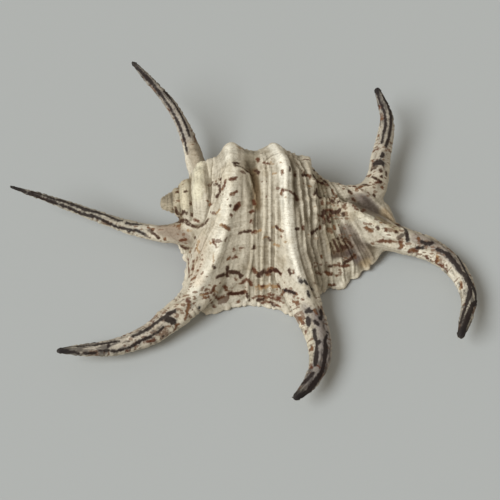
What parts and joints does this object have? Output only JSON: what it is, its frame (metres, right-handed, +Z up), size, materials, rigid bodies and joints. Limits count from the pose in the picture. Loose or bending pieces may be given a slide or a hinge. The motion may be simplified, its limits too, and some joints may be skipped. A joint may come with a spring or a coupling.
{
  "type": "chiragra spider conch shell",
  "caption": "Sea shell with a low spire, a ribbed back, a wide lip and long curved spines, lying on its opening side.",
  "frame": {"origin": "centre of the bounding box's bottom face, on the surface that the shell rests on", "axes": "+X along the body from the pointed spire to the siphonal canal, +Y from the lip towards the back of the coil, +Z up through the ribbed back"},
  "size_m": [0.1784, 0.1402, 0.0383],
  "materials": {
    "shell": "satin"
  },
  "bodies": {
    "root": {"shell": "shell"}
  },
  "joints": []
}
